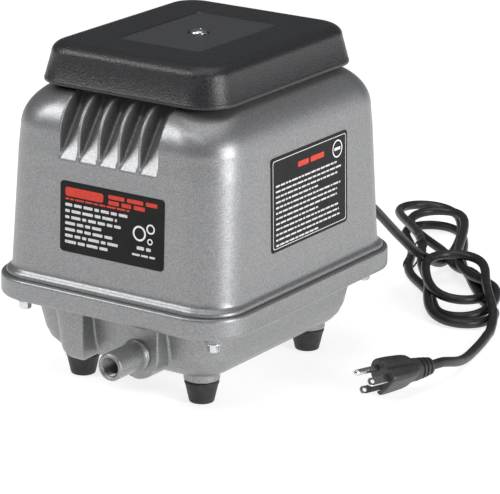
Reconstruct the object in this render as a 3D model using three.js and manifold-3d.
// Electromagnetic diaphragm air pump for ponds and aquariums.
// Millimetres, +Z up, floor at z = 0, outlet towards -Y, instruction label towards +X.
import * as THREE from 'three';
import { mergeVertices } from 'three/addons/utils/BufferGeometryUtils.js';
import Module from 'manifold-3d';

const wasm = await Module();
wasm.setup();

// ---------------------------------------------------------------- driving dimensions

const GAP = 0.3; // clearance between touching pieces
const CORNER_STEPS = 6; // facets in each rounded corner of a lofted shell
const BODY_Y = 11; // the body stands behind the origin, because the outlet stands out in front

// Housing and base: half sizes, corner radii and heights.
const FLANGE = { halfX: 105, halfY: 123.2, radius: 35, bottom: 65.3, top: 81, ledge: 80 };
const WALL = { halfX: 97.5, halfY: 114.5, radius: 28, widening: 7, foot: 90, draft: 0.0255, thickness: 4 };
const SHOULDER = { z: 190, radius: 32, inset: 3 };
const DECK_Z = SHOULDER.z + SHOULDER.radius;
const CHAMBER = { halfX: 52, halfY: 69, radius: 12, floor: 210 };
const AIR_SLOT = { halfX: 17, halfY: 6, radius: 5.9, y: -45 }; // through the chamber's floor, to the motor room
const FLUTE = {
  count: 5, pitch: 17.4, rib: 2.6, startY: 112.6, startZ: 176.5, tilt: 30, round: 5, low: -2.5, high: 62,
};
const TUB = { halfX: 84, halfY: 102, radius: 25, bottom: 22, floor: 27, step: 70 };
const TANK_PLATE_TOP = TUB.step + 3.3;

// Filter cover and its screw.
const COVER = { halfX: 80, halfY: 96.4, radius: 25.6, rim: 222.8, top: 251.5, wall: 2.6 };
const COVER_EDGE = { z: 243, slope: 4.7, run: 10.8 }; // where the top fillet starts, and its insets
const COVER_POST = { x: 57, y: 73.5, radius: 3, centreRadius: 9.5 };
const PANEL = { halfX: 34.7, halfY: 50.4, radius: 3, depth: 1 };
const SCREW = { headRadius: 6.2, shankRadius: 2.4, holeRadius: 2.8, tip: 217.4, recess: 1.6 };
const SCREW_SEAT = COVER.top - PANEL.depth - SCREW.recess;

// Feet, bolts, outlet and cord entry.
const FOOT = { x: 52.7, y: 70.4, height: 17, topRadius: 12.7, bottomRadius: 9.4, bossRadius: 13.3 };
const BOLT = { x: 82.9, y: 100.4, seat: 59, radius: 2.5, holeRadius: 2.8, bossRadius: 6.5, acrossFlats: 8 };
const OUTLET = { x: 24.8, z: 41, radius: 10.2, bore: 6.5, padY: 112, padHalf: 18, padDepth: 24, end: 145.2 };
const GLAND = { x: 42, z: 98, end: 146, neck: 6 };

// Motor, placed about its own axis, which runs along Y.
const AXIS_Z = 136;
const FRAME = { halfX: 40, halfY: 66, halfZ: 50, plate: 4, hole: 27 };
const CORE = { halfX: 18, legs: [10, 27, 37], pole: 6.5, yoke: 33.7, back: 45.7 };
const COIL = { halfX: 33, halfY: 26.6, radius: 8 };
const MOTOR_MOUNT = { x: 24, y: 50, radius: 9 };
const MAGNET = { y: 16, halfX: 10, halfY: 9, halfZ: 4.2 };
const DIAPHRAGM = { seat: 66.3, rim: 36, web: 28, centre: 20, thickness: 5.4 };
const HEAD = { half: 39, start: 72, web: 82, chamber: 85.3, end: 93, portX: 16, portY: 89.2 };
const FLAP = { width: 16, height: 18, thickness: 1.2, hingeZ: AXIS_Z + 9 };

// Mains lead, in the frame of the whole part.
const CORD_RADIUS = 3.7;
const HANK = { x: 48, y: 300.5, length: 304, width: 58, bottom: 0.4, height: 27, angle: -53 };
const TIE = { thickness: 0.7, width: 4 };
const PLUG = { x: 172, y: 62, z: 16.2, heading: 249.6, roll: 45, body: 27, total: 46 };

const LEAD_ROUTE = [
  [42, 157.3, 98], [42, 164, 97.4], [42, 172, 94.6], [42, 181, 89], [42, 191, 81.6], [42, 202, 73],
  [42, 214, 63.2], [42, 226, 53.4], [42, 237, 44.9], [42, 247, 37.2], [42, 257, 29.8],
];
const TAIL_ROUTE = [
  [151, 188, 3.9], [155.2, 175, 3.9], [159, 162, 3.9], [162.4, 148, 3.9], [165.4, 134, 3.9], [168.4, 120, 4.6],
  [171.2, 107, 6.7], [173.4, 95, 9.8], [174.4, 84, 13.1], [174.2, 74, 15.6], [172.4, 62.9, 16.2],
];

// ---------------------------------------------------------------- materials

const surface = (color, roughness, metalness = 0) => (
  new THREE.MeshStandardMaterial({ color, roughness, metalness })
);
const silverPaint = surface(0xa6a8aa, 0.42, 0.6);
const blackPlastic = surface(0x1c1c1e, 0.55);
const blackRubber = surface(0x141414, 0.8);
const grayFoam = surface(0x3c3f42, 0.95);
const labelFilm = surface(0x151515, 0.4);
const chrome = surface(0xd8dadc, 0.15, 1);
const zincSteel = surface(0xb4b6b8, 0.35, 0.9);
const copper = surface(0xa9522a, 0.4, 0.8);
const coreSteel = surface(0x6c6f73, 0.5, 0.8);
const castAluminium = surface(0xb9bcbf, 0.45, 0.8);
const creamPlastic = surface(0xd9d3c2, 0.5);
const nickelPlate = surface(0xcdcbc4, 0.25, 1);

// ---------------------------------------------------------------- geometry helpers

/** Turns a closed geometry into a manifold solid. */
function solidOf(geometry) {
  const bare = geometry.clone();
  bare.deleteAttribute('normal');
  bare.deleteAttribute('uv');
  const merged = mergeVertices(bare, 1e-4);
  const corners = merged.index.array;
  const kept = [];
  for (let i = 0; i < corners.length; i += 3) {
    const [a, b, c] = corners.slice(i, i + 3);
    if (a !== b && b !== c && c !== a) kept.push(a, b, c);
  }
  const vertProperties = new Float32Array(merged.attributes.position.array);
  return new wasm.Manifold(new wasm.Mesh({ numProp: 3, vertProperties, triVerts: new Uint32Array(kept) }));
}

/** Turns a manifold solid back into a geometry. */
function geometryOf(solid) {
  const mesh = solid.getMesh();
  const geometry = new THREE.BufferGeometry();
  geometry.setAttribute('position', new THREE.BufferAttribute(new Float32Array(mesh.vertProperties), 3));
  geometry.setIndex(new THREE.BufferAttribute(new Uint32Array(mesh.triVerts), 1));
  return geometry;
}

const cut = (body, tools) => (
  geometryOf(tools.reduce((solid, tool) => solid.subtract(solidOf(tool)), solidOf(body)))
);
const join = (body, more) => (
  geometryOf(more.reduce((solid, next) => solid.add(solidOf(next)), solidOf(body)))
);

/** A rounded rectangle centred on the origin, starting on its right side. */
function roundedOutline(halfX, halfY, radius) {
  const shape = new THREE.Shape();
  shape.absarc(halfX - radius, halfY - radius, radius, 0, Math.PI / 2);
  shape.absarc(radius - halfX, halfY - radius, radius, Math.PI / 2, Math.PI);
  shape.absarc(radius - halfX, radius - halfY, radius, Math.PI, Math.PI * 1.5);
  shape.absarc(halfX - radius, radius - halfY, radius, Math.PI * 1.5, Math.PI * 2);
  return shape;
}

/** Points around a rounded rectangle, the same number for every size. */
function ringPoints({ halfX, halfY, radius, z }) {
  const ring = [];
  for (let corner = 0; corner < 4; corner += 1) {
    const centreX = (halfX - radius) * (corner === 0 || corner === 3 ? 1 : -1);
    const centreY = (halfY - radius) * (corner < 2 ? 1 : -1);
    for (let step = 0; step <= CORNER_STEPS; step += 1) {
      const angle = (Math.PI / 2) * (corner + step / CORNER_STEPS);
      ring.push(new THREE.Vector3(centreX + radius * Math.cos(angle), centreY + radius * Math.sin(angle), z));
    }
  }
  return ring;
}

/** A closed solid through a stack of rounded rectangles, listed from the bottom up. */
function loft(sections) {
  const rings = sections.map(ringPoints);
  const count = rings[0].length;
  const points = rings.flat();
  const index = [];
  for (let level = 0; level + 1 < rings.length; level += 1) {
    for (let i = 0; i < count; i += 1) {
      const a = level * count + i;
      const b = level * count + ((i + 1) % count);
      index.push(a, b, b + count, a, b + count, a + count);
    }
  }
  const last = (rings.length - 1) * count;
  for (let i = 1; i + 1 < count; i += 1) {
    index.push(0, i + 1, i);
    index.push(last, last + i, last + i + 1);
  }
  const geometry = new THREE.BufferGeometry().setFromPoints(points);
  geometry.setIndex(index);
  return geometry;
}

const section = (halfX, halfY, radius, z) => ({ halfX, halfY, radius, z });

/** A straight-sided rounded slab between two heights. */
const slab = (halfX, halfY, radius, bottom, top) => loft([
  section(halfX, halfY, radius, bottom),
  section(halfX, halfY, radius, top),
]);

/** A box from its lowest to its highest corner. */
function box(low, high) {
  const size = high.map((value, axis) => value - low[axis]);
  const middle = high.map((value, axis) => (value + low[axis]) / 2);
  return new THREE.BoxGeometry(...size).translate(...middle);
}

/** A cylinder standing on z = bottom. */
function post(radius, bottom, top, x = 0, y = 0, steps = 16) {
  const cylinder = new THREE.CylinderGeometry(radius, radius, top - bottom, steps);
  return cylinder.rotateX(Math.PI / 2).translate(x, y, (bottom + top) / 2);
}

/** A cylinder along Y. */
function rodAlongY(radius, start, end, x, z, steps = 20) {
  const cylinder = new THREE.CylinderGeometry(radius, radius, end - start, steps);
  return cylinder.translate(x, (start + end) / 2, z);
}

/** A turned piece about +Z, from [radius, height] pairs listed up its outside. */
function turned(profile, steps = 16) {
  const points = profile.map(([radius, height]) => new THREE.Vector2(radius, height));
  return new THREE.LatheGeometry(points, steps).rotateX(Math.PI / 2);
}

/** A turned piece about Y: side -1 grows towards -Y, side 1 towards +Y. */
function turnedAlongY(profile, side, steps = 16) {
  return turned(profile, steps).rotateX(side < 0 ? Math.PI / 2 : -Math.PI / 2);
}

const extruded = (shape, depth, curveSegments = 6) => (
  new THREE.ExtrudeGeometry(shape, { depth, curveSegments, bevelEnabled: false })
);

/** An outline in the YZ plane, made into a bar centred on x = 0. */
function barAlongX(outline, halfWidth) {
  const shape = new THREE.Shape(outline.map(([y, z]) => new THREE.Vector2(y, z)));
  const turn = new THREE.Matrix4().makeBasis(
    new THREE.Vector3(0, 1, 0),
    new THREE.Vector3(0, 0, 1),
    new THREE.Vector3(1, 0, 0),
  );
  return extruded(shape, halfWidth * 2).translate(0, 0, -halfWidth).applyMatrix4(turn);
}

const pump = new THREE.Group();
pump.position.y = BODY_Y;
const whole = new THREE.Group();
whole.add(pump);

/** Names a piece and puts it in a group. */
function add(name, geometry, material, group = pump) {
  const mesh = new THREE.Mesh(geometry, material);
  mesh.name = name;
  group.add(mesh);
  return mesh;
}

// ---------------------------------------------------------------- housing

/** Rounded rectangle of the housing wall, pulled in by an inset; its corners widen with height. */
function wallSection(inset, z) {
  const rise = THREE.MathUtils.clamp((z - WALL.foot) / (SHOULDER.z - WALL.foot), 0, 1);
  const radius = WALL.radius + rise * WALL.widening;
  return section(WALL.halfX - inset, WALL.halfY - inset, radius, z);
}

/** How far the drafted wall has leaned in at a height. */
const wallInset = (z) => (z - WALL.foot) * WALL.draft;

/** Outer skin: bead at the foot, drafted wall, round shoulder, flat deck. */
function housingSkin() {
  const bottom = FLANGE.ledge + GAP;
  const bead = [[-2.6, 0], [-3.3, 1.3], [-3.3, 2.7], [-2.5, 4.1], [-1.1, 5.1], [-0.3, 6.7]];
  const sections = bead.map(([inset, rise]) => wallSection(inset, bottom + rise));
  sections.push(wallSection(0, WALL.foot));
  const middle = (WALL.foot + SHOULDER.z) / 2;
  sections.push(wallSection(wallInset(middle), middle));
  const steps = 6;
  for (let step = 0; step <= steps; step += 1) {
    const angle = (Math.PI / 2) * (step / steps);
    const inset = SHOULDER.inset + SHOULDER.radius * (1 - Math.cos(angle));
    sections.push(wallSection(inset, SHOULDER.z + SHOULDER.radius * Math.sin(angle)));
  }
  return loft(sections);
}

/** The room inside the housing for the motor. */
function housingRoom() {
  const { halfX, halfY, thickness } = WALL;
  return loft([
    section(halfX - thickness, halfY - thickness, 24, FLANGE.ledge - 2),
    section(halfX - thickness - 1.8, halfY - thickness - 2.7, 23, 168),
    section(halfX - 9.5, halfY - 14.5, 20, SHOULDER.z),
    section(halfX - 21.5, halfY - 26.5, 16, CHAMBER.floor - thickness),
  ]);
}

/** One air intake pocket: a slot with a sloping floor, cut square to that floor. */
function flutePocket(x) {
  const { round, low, high } = FLUTE;
  const half = (FLUTE.pitch - FLUTE.rib) / 2;
  const outline = new THREE.Shape();
  outline.moveTo(half, high);
  outline.lineTo(-half, high);
  outline.absarc(round - half, low + round, round, Math.PI, Math.PI * 1.5);
  outline.absarc(half - round, low + round, round, Math.PI * 1.5, Math.PI * 2);
  const tilt = THREE.MathUtils.degToRad(FLUTE.tilt);
  const place = new THREE.Matrix4().makeBasis(
    new THREE.Vector3(1, 0, 0),
    new THREE.Vector3(0, Math.sin(tilt), Math.cos(tilt)),
    new THREE.Vector3(0, -Math.cos(tilt), Math.sin(tilt)),
  );
  place.setPosition(x, -FLUTE.startY, FLUTE.startZ);
  return extruded(outline, 34, 3).applyMatrix4(place);
}

function buildHousing() {
  const pockets = [];
  for (let i = 0; i < FLUTE.count; i += 1) {
    const front = flutePocket((i - (FLUTE.count - 1) / 2) * FLUTE.pitch);
    pockets.push(front, front.clone().rotateZ(Math.PI));
  }
  const seat = slab(WALL.halfX + 0.4, WALL.halfY + 0.4, WALL.radius, FLANGE.ledge - 1, FLANGE.ledge + 2.8);
  const shell = cut(housingSkin(), [
    housingRoom(),
    slab(CHAMBER.halfX, CHAMBER.halfY, CHAMBER.radius, CHAMBER.floor, DECK_Z + 2),
    slab(AIR_SLOT.halfX, AIR_SLOT.halfY, AIR_SLOT.radius, CHAMBER.floor - 6, CHAMBER.floor + 1)
      .translate(0, AIR_SLOT.y, 0),
    ...pockets,
  ]);
  const bosses = corners(BOLT.x, BOLT.y).map(([x, y]) => post(BOLT.bossRadius, FLANGE.ledge + 1, 98, x, y));
  const centrePost = post(8, CHAMBER.floor - 2, DECK_Z - 0.2, 0, 0, 24);
  const holes = corners(BOLT.x, BOLT.y).map(([x, y]) => post(BOLT.holeRadius, 70, 95.5, x, y, 16));
  return cut(join(shell, [...bosses, centrePost]), [
    seat,
    ...holes,
    post(SCREW.holeRadius, SCREW.tip - 1.5, DECK_Z + 1, 0, 0, 16),
    rodAlongY(GLAND.neck + GAP, 104, 120, GLAND.x, GLAND.z, 20),
  ]);
}

/** The four mirror images of one point. */
function corners(x, y) {
  return [[x, y], [-x, y], [-x, -y], [x, -y]];
}

function buildGasket() {
  const outer = slab(WALL.halfX, WALL.halfY, WALL.radius, FLANGE.ledge + GAP, FLANGE.ledge + 2.5);
  return cut(outer, [slab(WALL.halfX - 3.7, WALL.halfY - 3.7, 24.3, FLANGE.ledge - 1, FLANGE.ledge + 4)]);
}

add('upper_housing', buildHousing(), silverPaint);
add('housing_gasket', buildGasket(), blackRubber);

// ---------------------------------------------------------------- base

function tubSkin() {
  const { halfX, halfY, radius } = FLANGE;
  return loft([
    section(63, 80.5, 18, TUB.bottom),
    section(68, 85.5, 20, 23.2),
    section(72.5, 90, 22, 26.2),
    section(76.3, 93.8, 23, 31),
    section(79, 96.6, 24, 38),
    section(TUB.halfX, TUB.halfY, TUB.radius, FLANGE.bottom),
    section(halfX - 1.4, halfY - 1.4, radius - 1.4, FLANGE.bottom),
    section(halfX, halfY, radius, FLANGE.bottom + 1.6),
    section(halfX, halfY, radius, FLANGE.top - 1.2),
    section(halfX - 1, halfY - 1, radius - 1, FLANGE.top),
  ]);
}

/** The room inside the base: the air tank below, a step for the tank plate above it. */
function tubRoom() {
  return loft([
    section(60, 77.5, 16, TUB.floor),
    section(74.5, 92, 20, 34),
    section(80, 98, 22, TUB.step - 0.1),
    section(88, 105.5, 30, TUB.step),
    section(88, 105.5, 30, FLANGE.top + 2),
  ]);
}

/** Flat pad around the outlet, with a round bottom. */
function outletPad() {
  const { padHalf, padDepth } = OUTLET;
  const shape = new THREE.Shape();
  shape.moveTo(padHalf, FLANGE.bottom + 1 - OUTLET.z);
  shape.lineTo(-padHalf, FLANGE.bottom + 1 - OUTLET.z);
  shape.absarc(0, 0, padHalf, Math.PI, Math.PI * 2);
  const pad = extruded(shape, padDepth, 12).rotateX(Math.PI / 2);
  return pad.translate(OUTLET.x, padDepth - OUTLET.padY, OUTLET.z);
}

/** Block at the front left corner, level with the outlet pad and rounded underneath. */
function cornerBlock() {
  const round = 9;
  const low = 24.5;
  const shape = new THREE.Shape();
  shape.moveTo(-22.3, -70);
  shape.lineTo(-66, -70);
  shape.lineTo(-69, -82);
  shape.quadraticCurveTo(-60, 1.5 - OUTLET.padY, -40, -OUTLET.padY);
  shape.lineTo(-22.3, -OUTLET.padY);
  const options = {
    depth: FLANGE.bottom + 3 - low - round,
    curveSegments: 6,
    bevelThickness: round,
    bevelSize: round,
    bevelOffset: -round,
    bevelSegments: 4,
  };
  return new THREE.ExtrudeGeometry(shape, options).translate(0, 0, low + round);
}

function buildBase() {
  const feet = corners(FOOT.x, FOOT.y);
  const bosses = feet.map(([x, y]) => post(FOOT.bossRadius, FOOT.height + GAP, 26, x, y, 24));
  const boltBosses = corners(BOLT.x, BOLT.y).map(([x, y]) => (
    post(BOLT.bossRadius, BOLT.seat, FLANGE.bottom + 2, x, y, 16)
  ));
  const body = join(tubSkin(), [outletPad(), cornerBlock(), ...bosses, ...boltBosses]);
  return cut(body, [
    slab(FLANGE.halfX - 2.4, FLANGE.halfY - 2.4, FLANGE.radius - 2.4, FLANGE.ledge, FLANGE.top + 1),
    tubRoom(),
    rodAlongY(OUTLET.radius + GAP, -OUTLET.padY - 2, -80, OUTLET.x, OUTLET.z, 28),
    ...feet.map(([x, y]) => post(2.3, FOOT.height - 1, 25.5, x, y, 12)),
    ...corners(BOLT.x, BOLT.y).map(([x, y]) => post(BOLT.holeRadius, BOLT.seat - 1, 82, x, y, 12)),
  ]);
}

/** Threaded outlet, turned about its own axis and set in the pad. */
function buildOutlet() {
  const { radius, bore, padY, end } = OUTLET;
  const profile = [
    [bore, 88], [radius, 88], [radius, padY + GAP], [12, padY + GAP], [11.8, padY + 1.6],
    [radius + 0.5, padY + 2.8], [radius, padY + 5], [radius, end - 0.9], [radius - 0.9, end],
    [bore + 0.8, end], [bore, end - 0.8], [bore, 88],
  ];
  return turnedAlongY(profile, -1, 24).translate(OUTLET.x, 0, OUTLET.z);
}

function buildTankPlate() {
  const plate = slab(87.6, 105.1, 29.6, TUB.step + GAP, TANK_PLATE_TOP);
  const pipes = [-1, 1].map((side) => post(6.3, 69, 75, side * HEAD.portX, side * HEAD.portY, 16));
  return cut(plate, pipes);
}

/** Rubber foot with a recess for its screw. */
function footProfile() {
  const { height, topRadius, bottomRadius } = FOOT;
  return [
    [2.4, 5.6], [5.4, 5.6], [5.4, 0], [bottomRadius - 1.4, 0], [bottomRadius - 0.4, 0.5], [bottomRadius, 1.6],
    [topRadius, height - 0.8], [topRadius - 0.6, height], [2.4, height], [2.4, 5.6],
  ];
}

const footScrewProfile = [[0, 1.9], [3.6, 1.9], [4.4, 3], [4.4, 5.3], [2, 5.3], [2, 24.8], [0, 24.8]];

/** Hex head, washer and shank of a flange bolt, head down. */
function buildBolt(x, y) {
  const hexRadius = BOLT.acrossFlats / 2 / Math.cos(Math.PI / 6);
  const seatZ = BOLT.seat - GAP;
  const head = post(hexRadius, seatZ - 6.6, seatZ - 1, x, y, 6);
  const washer = post(5.4, seatZ - 1.2, seatZ, x, y, 16);
  return join(head, [washer, post(BOLT.radius, seatZ - 0.5, 94, x, y, 12)]);
}

add('base_casting', buildBase(), silverPaint);
add('outlet_nozzle', buildOutlet(), silverPaint);
add('tank_plate', buildTankPlate(), castAluminium);

const CORNER_NAMES = ['rear_right', 'rear_left', 'front_left', 'front_right'];
corners(FOOT.x, FOOT.y).forEach(([x, y], i) => {
  add(`foot_${CORNER_NAMES[i]}`, turned(footProfile()), blackRubber).position.set(x, y, 0);
  add(`foot_screw_${CORNER_NAMES[i]}`, turned(footScrewProfile, 12), zincSteel).position.set(x, y, 0);
});
corners(BOLT.x, BOLT.y).forEach(([x, y], i) => {
  add(`flange_bolt_${CORNER_NAMES[i]}`, buildBolt(x, y), chrome);
});

// ---------------------------------------------------------------- labels

/** Thin film with rounded corners, lying in the XY plane. */
const labelFilmSheet = (halfX, halfY) => extruded(roundedOutline(halfX, halfY, 3), 0.6, 4);

/** Stands a film on a drafted wall: turn is the wall's heading about +Z. */
function placeLabel(mesh, x, y, z, turn) {
  mesh.rotation.order = 'ZXY';
  mesh.rotation.set(Math.PI / 2 - Math.atan(WALL.draft), 0, turn);
  mesh.position.set(x, y, z);
}

const FRONT_LABEL = { x: 4.4, z: 133.8, halfX: 45, halfZ: 26 };
const SIDE_LABEL = { y: 1.2, z: 147.5, halfY: 50.6, halfZ: 34.6 };

placeLabel(
  add('front_label', labelFilmSheet(FRONT_LABEL.halfX, FRONT_LABEL.halfZ), labelFilm),
  FRONT_LABEL.x, -(WALL.halfY - wallInset(FRONT_LABEL.z) + GAP + 0.3), FRONT_LABEL.z, 0,
);
placeLabel(
  add('side_label', labelFilmSheet(SIDE_LABEL.halfY, SIDE_LABEL.halfZ), labelFilm),
  WALL.halfX - wallInset(SIDE_LABEL.z) + GAP + 0.3, SIDE_LABEL.y, SIDE_LABEL.z, Math.PI / 2,
);

// ---------------------------------------------------------------- filter cover

function buildCover() {
  const { halfX, halfY, radius, rim, top, wall } = COVER;
  const skin = [section(halfX - 0.8, halfY - 0.8, radius - 0.8, rim), section(halfX, halfY, radius, rim + 1)];
  const steps = 5;
  for (let step = 0; step <= steps; step += 1) {
    const angle = (Math.PI / 2) * (step / steps);
    const inset = COVER_EDGE.slope + COVER_EDGE.run * (1 - Math.cos(angle));
    const z = COVER_EDGE.z + (top - COVER_EDGE.z) * Math.sin(angle);
    skin.push(section(halfX - inset, halfY - inset, radius - inset * 0.7, z));
  }
  const inside = wall + COVER_EDGE.slope;
  const room = loft([
    section(halfX - wall, halfY - wall, radius - wall, rim - 1),
    section(halfX - inside, halfY - inside, radius - wall - 3, COVER_EDGE.z - 1),
    section(halfX - wall - 12, halfY - wall - 12, radius - wall - 9, top - 2.9),
  ]);
  const posts = corners(COVER_POST.x, COVER_POST.y).map(([x, y]) => (
    post(COVER_POST.radius, DECK_Z + GAP, top - 2, x, y, 12)
  ));
  const centrePost = post(COVER_POST.centreRadius, 226, top - 2, 0, 0, 20);
  const hollow = join(cut(loft(skin), [room]), [...posts, centrePost]);
  return cut(hollow, [
    slab(PANEL.halfX, PANEL.halfY, PANEL.radius, top - PANEL.depth, top + 1),
    post(7.6, SCREW_SEAT, top + 1, 0, 0, 20),
    post(SCREW.holeRadius, 220, top + 1, 0, 0, 16),
  ]);
}

function buildFoam() {
  const pad = slab(CHAMBER.halfX - 0.6, CHAMBER.halfY - 0.6, CHAMBER.radius, CHAMBER.floor + GAP, 224.5);
  return cut(pad, [post(8.5, 205, 230, 0, 0, 20)]);
}

/** Pan head screw with a cross recess. */
function buildCoverScrew() {
  const seat = SCREW_SEAT + 1.2;
  const { headRadius, shankRadius, tip } = SCREW;
  const head = [
    [0, tip], [shankRadius - 0.6, tip], [shankRadius, tip + 1], [shankRadius, seat], [headRadius, seat],
    [headRadius, seat + 0.6], [headRadius - 1.1, seat + 1.9], [headRadius - 3, seat + 2.6], [0, seat + 2.9],
  ];
  const arms = [[2.6, 0.6], [0.6, 2.6]].map(([x, y]) => box([-x, -y, seat + 1], [x, y, seat + 4]));
  return cut(turned(head, 20), arms);
}

function buildScrewWasher() {
  const bottom = SCREW_SEAT + GAP;
  return cut(post(7, bottom, bottom + 0.6, 0, 0, 20), [post(SCREW.holeRadius, 240, 260, 0, 0, 12)]);
}

add('filter_cover', buildCover(), blackPlastic);
add('filter_foam', buildFoam(), grayFoam);
add('cover_screw', buildCoverScrew(), chrome);
add('cover_screw_washer', buildScrewWasher(), chrome);

// ---------------------------------------------------------------- motor

/** Open box that holds the cores, with round holes at both ends. */
function buildMotorFrame() {
  const { halfX, halfY, halfZ, plate, hole } = FRAME;
  const low = AXIS_Z - halfZ;
  const high = AXIS_Z + halfZ;
  const outer = box([-halfX, -halfY, low], [halfX, halfY, high]);
  return cut(outer, [
    box([-halfX - 1, plate - halfY, low + plate], [halfX + 1, halfY - plate, high - plate]),
    rodAlongY(hole, -halfY - 1, halfY + 1, 0, AXIS_Z, 28),
  ]);
}

/** Laminated E core: side 1 above the armature, -1 below it. */
function buildCore(side) {
  const { legs: [centre, window, outer], pole, yoke, back } = CORE;
  const half = [[centre, pole], [centre, yoke], [window, yoke], [window, pole], [outer, pole], [outer, back]];
  const outline = [...half, ...half.map(([y, z]) => [-y, z]).reverse()];
  const core = barAlongX(outline, CORE.halfX);
  return side > 0 ? core : core.rotateX(Math.PI);
}

/** Coil around the centre leg of a core. */
function buildCoil(side) {
  const ring = roundedOutline(COIL.halfX, COIL.halfY, COIL.radius);
  ring.holes.push(roundedOutline(CORE.halfX + 0.4, CORE.legs[0] + 0.4, 1));
  const low = side > 0 ? CORE.pole + 4 : -CORE.yoke + 0.4;
  return extruded(ring, CORE.yoke - CORE.pole - 4.4, 5).translate(0, 0, low);
}

/** Armature bar with two windows for its magnets and a round rod at each end. */
function buildArmature() {
  const bar = join(box([-14, -36, -4.5], [14, 36, 4.5]), [rodAlongY(4, -71.4, 71.4, 0, 0, 16)]);
  const windows = [-1, 1].map((side) => {
    const middle = side * MAGNET.y;
    const reachX = MAGNET.halfX + GAP;
    const reachY = MAGNET.halfY + GAP;
    return box([-reachX, middle - reachY, -6], [reachX, middle + reachY, 6]);
  });
  return cut(bar, windows);
}

const magnetBlock = (middle) => box(
  [-MAGNET.halfX, middle - MAGNET.halfY, -MAGNET.halfZ],
  [MAGNET.halfX, middle + MAGNET.halfY, MAGNET.halfZ],
);

/** Rubber diaphragm: thick clamped rim, thin flexing web, thick centre. */
function diaphragmProfile() {
  const { rim, web, centre, thickness } = DIAPHRAGM;
  return [
    [4.3, 1], [centre, 1], [centre + 1.5, 1.9], [web - 1.5, 1.9], [web, 0], [rim, 0], [rim, thickness],
    [web, thickness], [web - 1.5, 3.7], [centre + 1.5, 3.7], [centre, 4.4], [4.3, 4.4], [4.3, 1],
  ];
}

const centrePlateProfile = [
  [0, 5.5], [4.3, 5.5], [4.3, 4.7], [18, 4.7], [18, 6.4], [17.6, 6.7], [6, 6.7], [5.6, 8.1], [0, 8.1],
];

/** Valve block: diaphragm cavity, two chambers, a valve port and an air way to each. */
function buildPumpHead() {
  const { half, start, web, chamber, end, portX, portY } = HEAD;
  const block = box([-half, start, -half], [half, end, half]);
  const ports = [-1, 1].flatMap((side) => [
    box([side * 16.5 - 13.5, chamber, -15], [side * 16.5 + 13.5, end + 1, 15]),
    rodAlongY(5, web - 1, chamber + 1, side * portX, 0, 14),
    post(4, -half - 1, -10, side * portX, portY, 14),
  ]);
  return cut(block, [rodAlongY(DIAPHRAGM.web, start - 1, web, 0, 0, 28), ...ports]);
}

function buildAirPipe() {
  const top = AXIS_Z - HEAD.half - GAP;
  return cut(post(6, 64, top, HEAD.portX, HEAD.portY, 16), [post(4, 60, top + 2, HEAD.portX, HEAD.portY, 12)]);
}

/** Valve flap with its hinge along its top edge, at the origin. */
function flapSheet() {
  const sheet = extruded(roundedOutline(FLAP.width / 2, FLAP.height / 2, 3), FLAP.thickness, 3);
  return sheet.rotateX(Math.PI / 2).translate(0, FLAP.thickness, -FLAP.height / 2);
}

add('motor_frame', buildMotorFrame(), castAluminium);
for (const [name, side] of [['upper', 1], ['lower', -1]]) {
  add(`stator_core_${name}`, buildCore(side), coreSteel).position.z = AXIS_Z;
  add(`stator_coil_${name}`, buildCoil(side), copper).position.z = AXIS_Z;
}
corners(MOTOR_MOUNT.x, MOTOR_MOUNT.y).forEach(([x, y], i) => {
  const mount = post(MOTOR_MOUNT.radius, TANK_PLATE_TOP + GAP, AXIS_Z - FRAME.halfZ - GAP, x, y, 16);
  add(`motor_mount_${CORNER_NAMES[i]}`, mount, blackRubber);
});
add('armature_shaft', buildArmature(), castAluminium).position.z = AXIS_Z;
add('magnet_front', magnetBlock(-MAGNET.y), coreSteel).position.z = AXIS_Z;
add('magnet_rear', magnetBlock(MAGNET.y), coreSteel).position.z = AXIS_Z;

for (const [name, side] of [['front', -1], ['rear', 1]]) {
  const end = new THREE.Group();
  end.rotation.z = side < 0 ? Math.PI : 0;
  end.position.z = AXIS_Z;
  pump.add(end);
  const { seat } = DIAPHRAGM;
  add(`diaphragm_${name}`, turnedAlongY(diaphragmProfile(), 1, 20), blackRubber, end).position.y = seat;
  add(`diaphragm_plate_${name}`, turnedAlongY(centrePlateProfile, 1, 16), castAluminium, end).position.y = seat;
  add(`pump_head_${name}`, buildPumpHead(), castAluminium, end);
  const lid = box([-HEAD.half, HEAD.end + GAP, -HEAD.half], [HEAD.half, HEAD.end + 4.3, HEAD.half]);
  add(`head_cover_${name}`, lid, castAluminium, end);
  add(`air_pipe_${name}`, buildAirPipe().translate(0, 0, -AXIS_Z), blackRubber, end);
  const hinge = FLAP.hingeZ - AXIS_Z;
  const inlet = HEAD.web - GAP - FLAP.thickness;
  const outlet = HEAD.chamber + GAP;
  add(`intake_flap_${name}`, flapSheet(), blackRubber, end).position.set(-HEAD.portX, inlet, hinge);
  add(`exhaust_flap_${name}`, flapSheet(), blackRubber, end).position.set(HEAD.portX, outlet, hinge);
}

const terminalScrews = [-10, 0, 10].map((x) => post(2, 84, 92, 42 + x, 86, 12));
add('terminal_block', cut(box([26, 78, TANK_PLATE_TOP + GAP], [58, 94, 88]), terminalScrews), creamPlastic);

// ---------------------------------------------------------------- mains lead

/** Strain relief: a flange inside the wall, a neck through it and a ribbed taper outside. */
function buildGland() {
  const wallInside = WALL.halfY - WALL.thickness - 1;
  const outside = WALL.halfY + 2 * GAP;
  const profile = [
    [0, wallInside - 3], [8.5, wallInside - 3], [8.5, wallInside - 0.2], [GLAND.neck, wallInside - 0.2],
    [GLAND.neck, outside], [9, outside], [9, outside + 3.2], [8, outside + 4.2],
    [7.4, outside + 8], [5.2, GLAND.end - 1], [4.7, GLAND.end], [0, GLAND.end],
  ];
  return turnedAlongY(profile, 1, 20).translate(GLAND.x, 0, GLAND.z);
}

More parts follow.
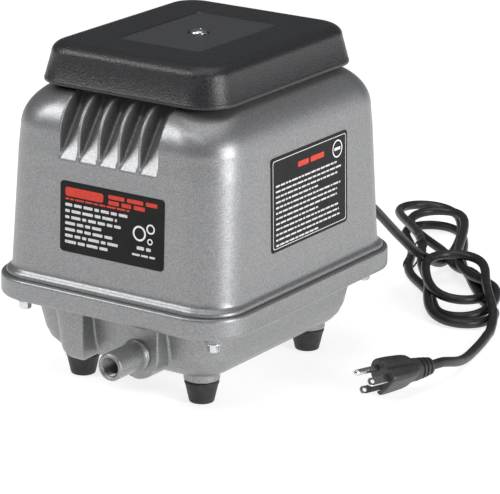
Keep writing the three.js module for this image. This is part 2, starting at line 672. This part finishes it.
/** Round cord along a route of points. */
function cordTube(route, steps) {
  const path = new THREE.CatmullRomCurve3(route.map((point) => new THREE.Vector3(...point)));
  const round = new THREE.Shape().absarc(0, 0, CORD_RADIUS, 0, Math.PI * 2);
  return new THREE.ExtrudeGeometry(round, { extrudePath: path, steps, curveSegments: 5, bevelEnabled: false });
}

/** A flat outline with two round ends, centred on the hank and turned to its heading. */
function hankOutline(grow) {
  const reach = (HANK.length - HANK.width) / 2;
  const radius = HANK.width / 2 + grow;
  const shape = new THREE.Shape();
  shape.absarc(reach, 0, radius, -Math.PI / 2, Math.PI / 2);
  shape.absarc(-reach, 0, radius, Math.PI / 2, Math.PI * 1.5);
  return shape;
}

/** Twist tie: a thin band around the middle of the hank. */
function buildTie() {
  const halfWidth = HANK.width / 2 + GAP;
  const low = HANK.bottom - GAP;
  const high = HANK.bottom + HANK.height + GAP;
  const band = TIE.thickness;
  const half = TIE.width / 2;
  return cut(box([-half, -halfWidth - band, low], [half, halfWidth + band, high + band]), [
    box([-half - 1, -halfWidth, low - 1], [half + 1, halfWidth, high]),
  ]);
}

/** Plug body outline across its axis: flat under the blades, round over the ground pin. */
function plugOutline() {
  const shape = new THREE.Shape();
  shape.moveTo(12.6, -6);
  shape.lineTo(12.2, 2);
  shape.absarc(0, 4.5, 10, 0.35, Math.PI - 0.35);
  shape.lineTo(-12.6, -6);
  shape.absarc(-9.6, -6.5, 3, Math.PI, Math.PI * 1.5);
  shape.absarc(9.6, -6.5, 3, Math.PI * 1.5, Math.PI * 2);
  return shape;
}

/** Moulded plug: its axis along +X towards the pins, its face at x = 0. */
function buildPlugBody() {
  const { body, total } = PLUG;
  const options = {
    depth: body - 4,
    curveSegments: 4,
    bevelThickness: 2,
    bevelSize: 2,
    bevelOffset: -2,
    bevelSegments: 1,
  };
  const turn = new THREE.Matrix4().makeBasis(
    new THREE.Vector3(0, 1, 0),
    new THREE.Vector3(0, 0, 1),
    new THREE.Vector3(1, 0, 0),
  );
  const block = new THREE.ExtrudeGeometry(plugOutline(), options).translate(0, 0, 2 - body).applyMatrix4(turn);
  const relief = turned([
    [0, body - 2], [9.5, body - 2], [9, body + 4], [6.8, body + 8], [6.6, total - 6], [5, total], [0, total],
  ], 16).rotateY(-Math.PI / 2);
  return join(block, [relief]);
}

function buildGroundPin() {
  return turned([[0, GAP], [2.4, GAP], [2.4, 18.6], [1.7, 20], [0, 20.7]], 14).rotateY(Math.PI / 2);
}

add('cord_gland', buildGland(), blackRubber);
add('cord_lead', cordTube(LEAD_ROUTE, 8), blackRubber, whole);
add('cord_tail', cordTube(TAIL_ROUTE, 10), blackRubber, whole);

const hank = new THREE.Group();
hank.position.set(HANK.x, HANK.y, 0);
hank.rotation.z = THREE.MathUtils.degToRad(HANK.angle);
whole.add(hank);
add('cord_hank', extruded(hankOutline(0), HANK.height, 10).translate(0, 0, HANK.bottom), blackRubber, hank);
add('twist_tie', buildTie(), blackPlastic, hank);

const plug = new THREE.Group();
const plugHeading = THREE.MathUtils.degToRad(PLUG.heading);
plug.position.set(
  PLUG.x + (PLUG.total + GAP) * Math.cos(plugHeading),
  PLUG.y + (PLUG.total + GAP) * Math.sin(plugHeading),
  PLUG.z,
);
plug.rotation.order = 'ZYX';
plug.rotation.set(THREE.MathUtils.degToRad(PLUG.roll), 0, plugHeading);
whole.add(plug);
add('plug_body', buildPlugBody(), blackRubber, plug);
add('plug_blade_left', box([GAP, 5.6, -7.2], [18, 7.1, -0.8]), nickelPlate, plug);
add('plug_blade_right', box([GAP, -7.1, -7.2], [18, -5.6, -0.8]), nickelPlate, plug);
add('plug_ground_pin', buildGroundPin(), nickelPlate, plug).position.z = 7.9;

export default whole;
